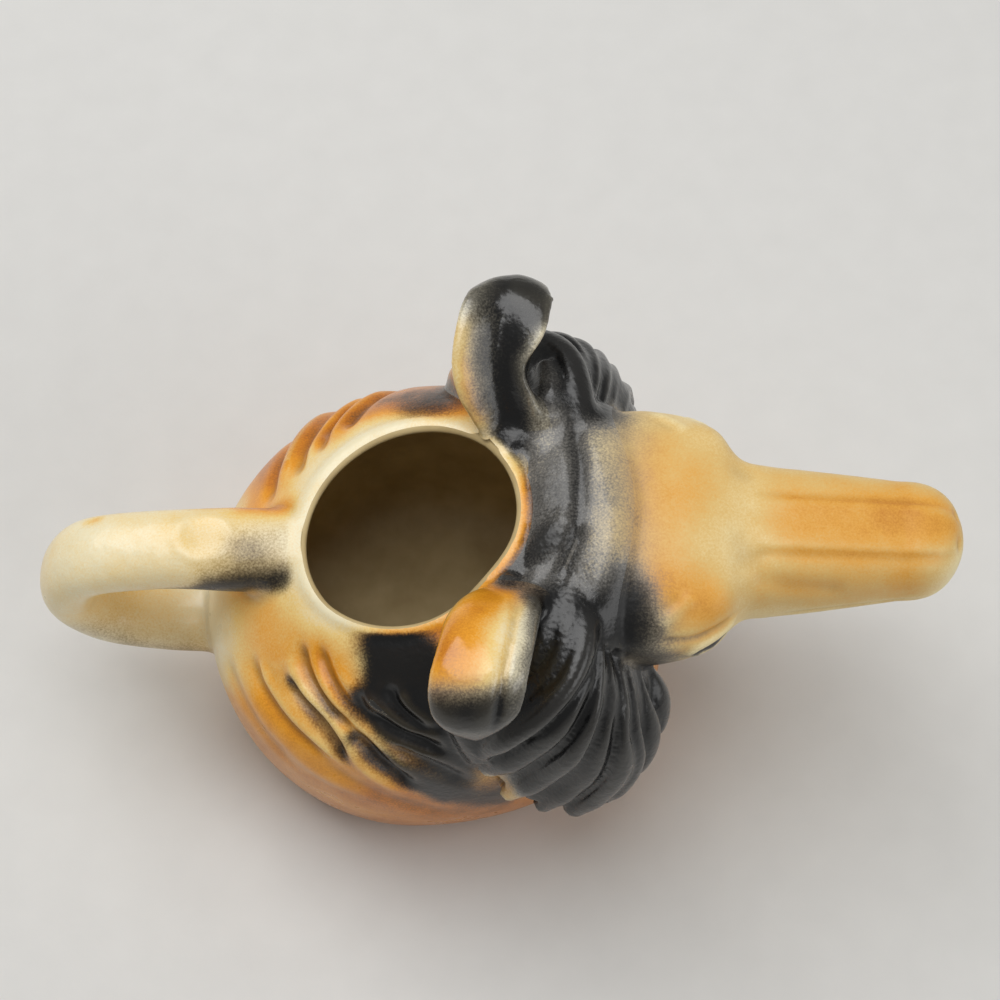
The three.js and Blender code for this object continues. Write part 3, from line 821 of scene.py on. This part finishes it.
# Airbrush: strength, radius and line of each pass
spray = {
    "orange": [
        # far flank
        (0.75, 6, ring(63, 35, 118)), (0.7, 9, ring(56, 30, 140)), (0.6, 12, ring(46, 30, 135)),
        (0.4, 9, ring(60, 105, 160)), (0.9, 6, ring(64, 70, 88)),
        # near flank, and the front of the lip; low on the near flank the orange is partly painted shade
        (0.35, 9, ring(63, 35, 150, -1)), (0.5, 11, ring(48, 30, 135, -1)), (0.5, 12, ring(10, 30, 115, -1)),
        (0.6, 8, onPot([(95, 34), (84, 27), (72, 22)], -1)),
        (0.5, 5, onPot([(124, 64), (114, 62), (106, 60)], -1)), (1.0, 2.9, lip(-120, 55)),
        # near ear
        (0.68, 8, [(17, -18, 78), (12, -25, 86), (8, -32, 89)]),
        (0.5, 5, [(8, -33, 88), (6, -40, 86), (8, -42, 80)]),
        (0.35, 5, [(9, -37, 89), (15, -39, 88.5)]), (0.55, 5, [(15, -17, 73), (8, -21, 71)]),
        # far ear
        (0.6, 4.5, [(12, 18, 78), (9, 24, 85), (8, 30, 88)]), (0.9, 5, [(5, 27, 70), (8, 33, 74)]),
        # skull and brows
        (0.3, 17, [(44, 0, 74), (60, 0, 70), (80, 0, 66), (100, 0, 64)]),
        (0.25, 8, [(52, 1, 77), (55, 4, 76.5)]), (0.25, 6, [(44, 8, 78), (44, -8, 78)]),
        (0.6, 6, [(47, -15, 74.5), (51, -16, 73)]), (0.2, 7, [(48, 14, 75)]),
        (0.5, 3.6, [(57.5, -18, 71.5)]), (0.3, 4, [(57.5, 18, 71.5)]),
        (0.35, 6, [(51, -22, 66), (55, -20, 68)]),
        # muzzle: bridge, its two creases and both sides
        (0.38, 5, [(70, -1.7, 72.8), (85, -1.7, 71.4), (103, -0.5, 69)]),
        (0.3, 1.8, [(66, -6.6, 72.4), (80, -6.6, 71.2), (104, -5, 68)]),
        (0.3, 1.8, [(66, 3.4, 73), (80, 3.2, 72), (104, 3, 69)]),
        (0.35, 7, [(66, -10, 67), (80, -10.5, 66), (95, -9, 65)]),
        (0.25, 5, [(90, 3, 70.5), (102, 4, 68.5)]), (0.22, 8, [(68, 6, 71), (80, 6, 70), (92, 6, 69)]),
        # handle, and the clay that shows in its chip
        (0.6, 3.2, [(-24, 7, 60), (-31, 7.4, 60)]),
        (0.5, 2, [(-24, 7.8, 59), (-34, 8, 59), (-46, 7.8, 58.5)]),
        (0.2, 12, [(-40, 0, 57), (-68, 0, 45), (-45, 0, 27)]),
        (0.95, 1.5, [(-62, 6.1, 60.2)]), (0.95, 1.5, [(-60.4, 6.6, 60.4)]),
    ],
    "black": [
        # patch on the near flank, below the ear
        (1.0, 4.4, onPot([(101, 68), (99, 65), (96, 62)], -1)),
        (1.0, 5, onPot([(92, 68), (90, 64), (86, 60)], -1)),
        (1.0, 5, onPot([(84, 66), (82, 60), (79, 54)], -1)),
        (1.0, 4.4, onPot([(98, 60), (92, 56.5), (87, 53), (82, 48), (77, 42)], -1)),
        (0.95, 3.2, onPot([(105, 60.5), (101, 59), (96, 57), (90, 55)], -1)),
        (0.95, 3.6, onPot([(97, 49), (92, 45.5), (87, 41), (82, 36)], -1)),
        (0.6, 6, onPot([(84, 46), (80, 39), (76, 32), (70, 27)], -1)),
        (0.4, 6, onPot([(80, 34), (70, 30), (60, 28)], -1)),
        (0.3, 5, onPot([(112, 67.5), (106, 66), (103, 62)], -1)),
        # streaks in the hair behind the patch
        (0.9, 2.2, onPot([(110, 55), (104, 52.5), (98, 48), (93, 44), (88, 38)], -1)),
        (0.9, 2.2, onPot([(137, 60.3), (127, 57.2), (120, 55.2), (115, 53), (110.5, 50), (107, 46.5),
                          (104, 43)], -1)),
        (0.85, 1.4, onPot([(136, 65), (130, 62.5), (123, 60.3), (116, 58), (106, 55)], -1)),
        (0.5, 1.4, onPot([(120, 63), (114, 61), (107, 58.4), (101, 56)], -1)),
        (0.3, 1.6, onPot([(142, 53.6), (134, 51.8), (126, 49.8)], -1)),
        # far flank, below the ear
        (0.55, 6, onPot([(84, 66), (80, 62), (78, 55)], 1)), (0.45, 4, onPot([(100, 62), (92, 61)], 1)),
        (0.4, 5, ring(66, 72, 90)),
        # crown, from the lip to the skull, darkest in the crease
        (0.5, 4.5, [(19, -15, 75), (22, -9, 75.5), (23.5, 0, 76), (22, 9, 75.5), (19, 15, 74)]),
        (0.6, 3, [(18.5, -13.5, 75), (21, -10, 76), (26, -7, 78)]),
        (0.5, 6, [(24, -20, 74), (28.5, -10, 77), (29, 0, 78.5), (28.5, 10, 77), (25, 20, 73)]),
        (0.25, 8, [(25, -25, 73), (30, -14, 76), (30, 0, 78), (30, 14, 76), (27, 24, 73)]),
        (0.35, 1.8, [(29.5, 21, 73.5), (32, 7.5, 78), (31.8, 0, 79), (31, -7.6, 78), (28.8, -15, 75.5),
                     (26.6, -20, 73.5)]),
        (0.28, 5, [(35, -20, 74), (37, 0, 79), (35, 20, 74)]),
        (0.34, 7, [(42, -19, 74), (42.5, 0, 78), (42, 19, 74)]),
        # temples and cheeks
        (0.7, 5, [(37, -23, 73.5), (39, -30, 69)]), (0.7, 5, [(34, 24, 74), (37, 30, 71), (39, 34, 66)]),
        (0.9, 4.6, [(38, -27, 68.5), (39, -21, 72)]), (0.45, 5, [(40, -16, 75), (42, -22, 70)]),
        (0.5, 5, [(37, 28, 70), (38, 23, 72)]), (0.35, 9, [(43, -22, 69), (46, -25, 63)]),
        (0.3, 3.5, [(45, -26, 64), (53, -25, 62)]), (0.3, 3.5, [(45, 26, 64), (53, 25, 62)]),
        # near ear, over the tip and along the front
        (0.45, 4.5, [(8, -41.5, 87), (18, -41.5, 87)]),
        (1.0, 5, [(7, -45, 84), (13, -45.5, 85), (19, -45, 84)]),
        (1.0, 6, [(7, -45, 76), (19, -45, 76)]),
        (0.7, 4, [(24.5, -21, 81), (24, -28, 86), (22, -36, 88), (19.5, -42, 85)]),
        # far ear, over the tip and down the gutter
        (0.8, 7, [(20, 46, 82), (20.5, 40, 88)]), (0.6, 5, [(13, 38, 88), (26, 38, 88)]),
        (0.65, 6, [(15, 33, 87.5), (14, 27, 86), (15, 22, 80)]),
        (0.85, 3.4, [(24, 34, 88), (22, 29, 85), (22, 25, 82)]),
        (1.0, 4.6, [(20, 31, 85), (19.5, 26, 82.5), (19.5, 22, 79), (20, 16, 75)]),
        # handle: near side of its upper root, partly overspray and partly painted shade, with a painted
        # shadow band under it; top of the root; painted shade on the near side low on the loop
        (0.75, 3.4, [(-24, -7.4, 59.6), (-30, -7.6, 59), (-37, -7.8, 57.6)]),
        (0.7, 2.4, [(-30, -8, 57), (-40, -8, 56), (-50, -7.6, 54)]),
        (0.34, 6, [(-25, 0, 62.5), (-31, -1, 63)]), (0.3, 6, [(-30, -4, 62.5), (-38, -6, 61)]),
        (0.45, 6, [(-66, -6, 36), (-56, -7, 28), (-42, -8, 24)]),
    ],
    # glaze that blistered over the crown's crease and down the near ruff
    "blister": [(1.0, 3.6, [(28, -4, 77), (30.5, -13, 76.5), (29.5, -18.5, 75.5), (27.7, -25.5, 73.5),
                            (25.5, -31, 70.5)])],
}
# alike on both sides: orange round the lower belly, partly painted shade, and behind; black eyes and ruff
# locks
belly = [(0.6, 12, 32, 0, 145), (0.6, 14, 16, 0, 155), (0.6, 12, 0, 0, 165), (0.2, 10, 60, 140, 180)]
eyes = [
    (1.0, 1.5, [(52.6, 24.2, 63), (55, 23.1, 63.2), (57.3, 21.9, 63.3), (59.4, 19.6, 63.2),
                (61.4, 17.2, 63)]),
    (1.0, 1.6, [(57.4, 22, 63.3)]),
    (0.3, 0.7, [(47, 23.8, 68.8), (50.6, 23.3, 68.3), (54, 22.3, 67.8), (57.5, 20.2, 67.6)]),  # fold above
]
for side in (1, -1):
    for strength, radius, level, start, end in belly:
        spray["orange"].append((strength, radius, ring(level, start, end, side)))
    for strength, radius, path in eyes:
        spray["black"].append((strength, radius, mirrored(path, side)))
    for u in np.linspace(2, len(ruff["guides"]) - 1, 11):
        spray["black"].append((0.95, 6, mirrored(ruffOn(side, u, 12)[2:], side)))

# wiped while wet
mouthRing = potRing(pot["rimHeight"], 0.6 * pot["lip"], pot["lipRise"])[::6]
mouthRing = np.concatenate([mouthRing, mouthRing[:1]])
wipes = {
    "orange": [
        (0.4, 2.6, mouthRing), (0.85, 5, [(104, -7, 63), (103, -9, 59)]),  # lip, nose
        (0.5, 7, [(62, -7, 73), (63, 3, 74)]),  # stop
        (0.95, 6, [(25, 14, 76), (27, 22, 77), (27, 29, 77.5)]),  # root of the far ear
        (0.8, 9, ring(40, 165, 180)), (0.8, 9, ring(40, 165, 180, -1)),  # above the handle's lower root
    ],
    "black": [
        (0.9, 1.1, mouthRing), (0.9, 4.6, [(15.5, -44, 44), (18, -44.5, 38)]),  # lip, tip of a near lock
        (0.2, 2.2, [(20.8, -33, 88.5), (20.3, -38, 88), (19.9, -41.5, 87), (19.3, -44, 84.5)]),  # near ear
        (0.22, 4, [(25, 15, 76), (27, 22, 77), (27, 28, 77.5)]),  # root of the far ear
        (0.15, 6, [(35.5, -25.7, 74), (38, -33, 68), (38.5, -39, 60)]),  # near ruff
    ],
    "blister": [],
}


def sprayed(points, name):
    bare = np.ones(len(points))
    for strength, radius, path in spray[name]:
        bare *= 1 - mark(points, strength, radius, path, radius < 3)  # narrow passes taper
    kept = np.ones(len(points))
    for strength, radius, path in wipes[name]:
        kept *= 1 - mark(points, strength, radius, path)
    return (1 - bare) * kept


def paint(piece):
    points = places(piece)
    layers = {name: sprayed(points, name) for name in spray}
    layers["sunk"] = np.array([sunk[firedTree.find(at)[1]] for at in points])
    for name, values in layers.items():
        layer = piece.data.attributes.new(name, "FLOAT", "POINT")
        layer.data.foreach_set("value", values.astype(np.float32))


# sharp where a seam or a bore meets the glazed outside
def crisp(piece):
    mesh = piece.data
    mesh.shade_smooth()
    slot, total = np.empty(len(mesh.polygons), np.int32), np.empty(len(mesh.polygons), np.int32)
    mesh.polygons.foreach_get("material_index", slot)
    mesh.polygons.foreach_get("loop_total", total)
    edge = np.empty(len(mesh.loops), np.int32)
    mesh.loops.foreach_get("edge_index", edge)
    low, high = np.full(len(mesh.edges), 99), np.full(len(mesh.edges), -1)
    np.minimum.at(low, edge, np.repeat(slot, total))
    np.maximum.at(high, edge, np.repeat(slot, total))
    mesh.attributes.new("sharp_edge", "BOOLEAN", "EDGE").data.foreach_set("value", low != high)


for piece in pieces.values():
    paint(piece)
    crisp(piece)
print("painted")


def blankTree(material):
    material.use_nodes = True
    material.node_tree.nodes.clear()
    return material.node_tree, addNode(material.node_tree, "ShaderNodeTexCoord").outputs["Object"]


def setRamp(node, stops):
    while len(node.color_ramp.elements) < len(stops):
        node.color_ramp.elements.new(0.5)
    for element, (at, shade) in zip(node.color_ramp.elements, stops):
        element.position = at
        element.color = colour(shade)


# Airbrushed earthenware under a clear gloss glaze: grainy edges to the colour, a wet shine, a slight ripple
def sprayedGlaze(name, look):
    material = bpy.data.materials.new(name)
    tree, coords = blankTree(material)
    layer = {key: addNode(tree, "ShaderNodeAttribute", {"attribute_name": key}).outputs["Fac"]
             for key in ("orange", "black", "blister", "sunk")}
    grain = addNode(tree, "ShaderNodeTexNoise", {"Scale": perMm(0.4), "Detail": 2.0, "Roughness": 0.6},
                    {"Vector": coords})
    cloud = addNode(tree, "ShaderNodeTexNoise", {"Scale": perMm(7), "Detail": 3.0, "Roughness": 0.55},
                    {"Vector": coords})
    grainy = addNode(tree, "ShaderNodeMath", {"operation": "MULTIPLY_ADD", 1: 0.35, 2: -0.175}, {0: grain})
    cloudy = addNode(tree, "ShaderNodeMath",
                     {"operation": "MULTIPLY_ADD", 1: look["cloud"], 2: -0.5 * look["cloud"]}, {0: cloud})
    mottled = addNode(tree, "ShaderNodeMath", {"operation": "ADD"}, {0: grainy, 1: cloudy})
    # colour thins to ochre and cream where the spray is light, and on ridges, partly wear and partly painted
    # highlight
    wornAndLit = addNode(tree, "ShaderNodeMapRange", {1: 0.05, 2: 0.45, 3: -look["bare"], 4: 0.0},
                   {0: layer["sunk"]})
    thinned = addNode(tree, "ShaderNodeMath", {"operation": "ADD"}, {0: layer["orange"], 1: wornAndLit})
    tone = addNode(tree, "ShaderNodeMath", {"operation": "ADD", "use_clamp": True}, {0: thinned, 1: mottled})
    stain = addNode(tree, "ShaderNodeValToRGB", links={"Fac": tone})
    setRamp(stain, look["stain"])
    # painted shade: darker colour in the grooves
    grooveShaded = addNode(tree, "ShaderNodeMapRange", {1: 0.5, 2: 1.0, 3: 0.0, 4: look["grooveShading"]},
                     {0: layer["sunk"]})
    stained = addNode(tree, "ShaderNodeMix", {"data_type": "RGBA", 7: colour(look["grooveShadingColour"])},
                      {"Factor": grooveShaded, 6: stain})
    # black overspray breaks into specks at its edge
    speck = addNode(tree, "ShaderNodeMath",
                    {"operation": "MULTIPLY_ADD", 1: look["speck"], 2: -0.5 * look["speck"]}, {0: grain})
    dusted = addNode(tree, "ShaderNodeMath", {"operation": "ADD"}, {0: layer["black"], 1: speck})
    dusted = addNode(tree, "ShaderNodeMath", {"operation": "ADD"}, {0: dusted, 1: cloudy})
    dense = addNode(tree, "ShaderNodeMapRange", {"interpolation_type": "SMOOTHSTEP", 1: 0.12, 2: 0.95},
                    {0: dusted})
    # thin overspray greys, partly painted sheen; thick is black; ridges lose black, partly wear and partly
    # painted highlight
    hazy = addNode(tree, "ShaderNodeMapRange", {1: 0.0, 2: 0.6, 3: 0.0, 4: look["misty"]}, {0: dense})
    misted = addNode(tree, "ShaderNodeMix", {"data_type": "RGBA", 7: colour(look["hazeAndSheen"])},
                     {"Factor": hazy, 6: stained.outputs[2]})
    thick = addNode(tree, "ShaderNodeMapRange",
                    {"interpolation_type": "SMOOTHSTEP", 1: 0.25 * look["misty"], 2: 1.0}, {0: dense})
    rubbedAndLit = addNode(tree, "ShaderNodeMapRange", {1: 0.15, 2: 0.5, 3: 1 - look["rubbedAndLit"], 4: 1.0},
                     {0: layer["sunk"]})
    kept = addNode(tree, "ShaderNodeMath", {"operation": "MULTIPLY"}, {0: thick, 1: rubbedAndLit})
    painted = addNode(tree, "ShaderNodeMix", {"data_type": "RGBA", 7: colour(look["black"])},
                      {"Factor": kept, 6: misted.outputs[2]})
    gloss = addNode(tree, "ShaderNodeMapRange", {1: 0.3, 2: 0.7, 3: look["gloss"][0], 4: look["gloss"][1]},
                    {0: cloud})
    # glaze ripple, with orange peel where the colour is thick, and pimples where it blistered
    ripple = addNode(tree, "ShaderNodeTexNoise", {"Scale": perMm(3.2), "Detail": 2.0}, {"Vector": coords})
    peel = addNode(tree, "ShaderNodeTexNoise", {"Scale": perMm(1.1), "Detail": 1.0}, {"Vector": coords})
    peeled = addNode(tree, "ShaderNodeMath", {"operation": "MULTIPLY"}, {0: peel, 1: dense})
    relief = addNode(tree, "ShaderNodeMath", {"operation": "MULTIPLY_ADD", 1: 0.6}, {0: peeled, 2: ripple})
    pimple = addNode(tree, "ShaderNodeTexVoronoi", {"Scale": perMm(0.9), "feature": "SMOOTH_F1"},
                     {"Vector": coords})
    pimpled = addNode(tree, "ShaderNodeMath", {"operation": "MULTIPLY"},
                      {0: pimple.outputs["Distance"], 1: layer["blister"]})
    relief = addNode(tree, "ShaderNodeMath", {"operation": "MULTIPLY_ADD", 1: -1.2}, {0: pimpled, 2: relief})
    bump = addNode(tree, "ShaderNodeBump", {"Strength": look["ripple"], "Distance": 0.0004},
                   {"Height": relief})
    shader = addNode(tree, "ShaderNodeBsdfPrincipled",
                     {"IOR": 1.45, "Coat Weight": look["coat"], "Coat Roughness": 0.22},
                     {"Base Color": painted.outputs[2], "Roughness": gloss, "Normal": bump})
    addNode(tree, "ShaderNodeOutputMaterial", links={"Surface": shader})
    return material


# wash: painted shade in the grooves; speck: grain of the black's edge; misty: how grey thin black is, partly
# painted sheen;
# bare and rubbed: wear of orange and black on ridges, partly painted highlight; cloud: unevenness of the
# spray
glazes = {
    "stain": [(0.0, "#f5e9c4"), (0.28, "#f2cf82"), (0.58, "#eca02a"), (0.82, "#c67618"), (1.0, "#7a4a1a")],
    "grooveShading": 0.6, "grooveShadingColour": "#3c2812", "black": "#0c0c0d", "speck": 0.35, "gloss": (0.26, 0.38),
    "coat": 0.25, "ripple": 0.35, "rubbedAndLit": 0.12, "hazeAndSheen": "#918d86", "misty": 0.15, "bare": 0.3, "cloud": 0.3,
}
ochre = [(0.0, "#f6e3ae"), (0.3, "#e4c079"), (0.58, "#e4a545"), (0.82, "#c47a22"), (1.0, "#7a4a1a")]
looks = {
    "pot_glaze": ("sprayedPotGlaze", {"bare": 0.2, "rubbedAndLit": 0.03}),
    "head_glaze": ("sprayedHeadGlaze", {"stain": ochre, "grooveShading": 0.35, "gloss": (0.4, 0.5), "coat": 0.05,
                                        "misty": 0.8}),
    "handle_glaze": ("creamHandleGlaze", {"grooveShading": 0.4, "ripple": 0.55, "bare": 0.1, "misty": 0.5,
                                          "hazeAndSheen": "#8d7c68"}),
    "ear_glaze": ("sprayedEarGlaze", {"grooveShading": 0.45, "gloss": (0.16, 0.24), "coat": 0.3, "misty": 0.7}),
    "hair_glaze": ("blackHairGlaze", {"stain": ochre, "grooveShading": 0.4, "gloss": (0.22, 0.32), "ripple": 0.4,
                                      "rubbedAndLit": 0.1, "misty": 1.0, "cloud": 0.15}),
}
finishes = {slot: sprayedGlaze(name, {**glazes, **look}) for slot, (name, look) in looks.items()}


# dull and uneven in shade: glaze inside painted darker tan as painted shade, pale dry clay, table paper
def dullSurface(material, shades, roughness):
    tree, coords = blankTree(material)
    cloud = addNode(tree, "ShaderNodeTexNoise", {"Scale": perMm(9), "Detail": 4.0}, {"Vector": coords})
    shade = addNode(tree, "ShaderNodeValToRGB", links={"Fac": cloud})
    setRamp(shade, shades)
    bump = addNode(tree, "ShaderNodeBump", {"Strength": 0.3, "Distance": 0.0004}, {"Height": cloud})
    shader = addNode(tree, "ShaderNodeBsdfPrincipled", {"Roughness": roughness},
                     {"Base Color": shade, "Normal": bump})
    addNode(tree, "ShaderNodeOutputMaterial", links={"Surface": shader})


# inside glaze darker than the cream outside: painted shade for the deep inside
dullSurface(innerGlaze, [(0.35, "#b59e6e"), (0.65, "#c9b382")], 0.55)
for clay in (bareClay, seam):
    dullSurface(clay, [(0.3, "#cfc0a0"), (0.7, "#dccfb2")], 0.75)

slots = {"pot": "pot_glaze", "head": "head_glaze", "handle": "handle_glaze", "ear_left": "ear_glaze",
         "ear_right": "ear_glaze", "ruff_left": "hair_glaze", "ruff_right": "hair_glaze",
         "crown_mane": "hair_glaze"}
for name, piece in pieces.items():
    piece.data.materials[0] = finishes[slots[name]]
    piece.name = name + "_glazed"
    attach(piece, "root")
    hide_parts(name)
print("dressed")

# Studio: pale table, one large softbox overhead, a weak fill from the front
studio = {
    "softbox": (12.0, (0.8, 1.5), (-0.25, 0.3, 1.1)), "fill": (3.6, (1.0, 0.6), (1.0, -0.55, 0.6)),
    "world": 0.27, "tableHalf": 3,
    "lens": 84.37, "sensor": 36, "cameraAt": (0.0015, -0.1885, 0.4655), "cameraTilt": 26,
}
half = studio["tableHalf"]
floorMesh = bpy.data.meshes.new("table")
corners = [(-half, -half, 0), (half, -half, 0), (half, half, 0), (-half, half, 0)]
floorMesh.from_pydata(corners, [], [(0, 1, 2, 3)])
table = newPiece("table", floorMesh)
paper = bpy.data.materials.new("paleTablePaper")
dullSurface(paper, [(0.0, "#d6d5d2"), (1.0, "#dddcd9")], 0.8)
floorMesh.materials.append(paper)


def addLight(name, power, size, at):
    lamp = bpy.data.lights.new(name, "AREA")
    lamp.energy = power
    lamp.shape = "RECTANGLE"
    lamp.size, lamp.size_y = size
    light = newPiece(name, lamp)
    light.location = at
    aim = -np.array(at) / np.linalg.norm(at)
    light.rotation_euler = (math.acos(-aim[2]), 0, math.atan2(-aim[0], aim[1]))


addLight("softbox", *studio["softbox"])
addLight("fill", *studio["fill"])
world = bpy.data.worlds.new("studio")
world.use_nodes = True
sky = world.node_tree.nodes["Background"]
sky.inputs["Color"].default_value = colour("#f2f2f0")
sky.inputs["Strength"].default_value = studio["world"]
bpy.context.scene.world = world

lens = bpy.data.cameras.new("camera")
lens.lens = studio["lens"]
lens.sensor_width = studio["sensor"]
camera = newPiece("camera", lens)
camera.location = studio["cameraAt"]
camera.rotation_euler = (math.radians(studio["cameraTilt"]), 0, 0)
bpy.context.scene.camera = camera
bpy.context.scene.view_settings.view_transform = "Standard"
print("lit")
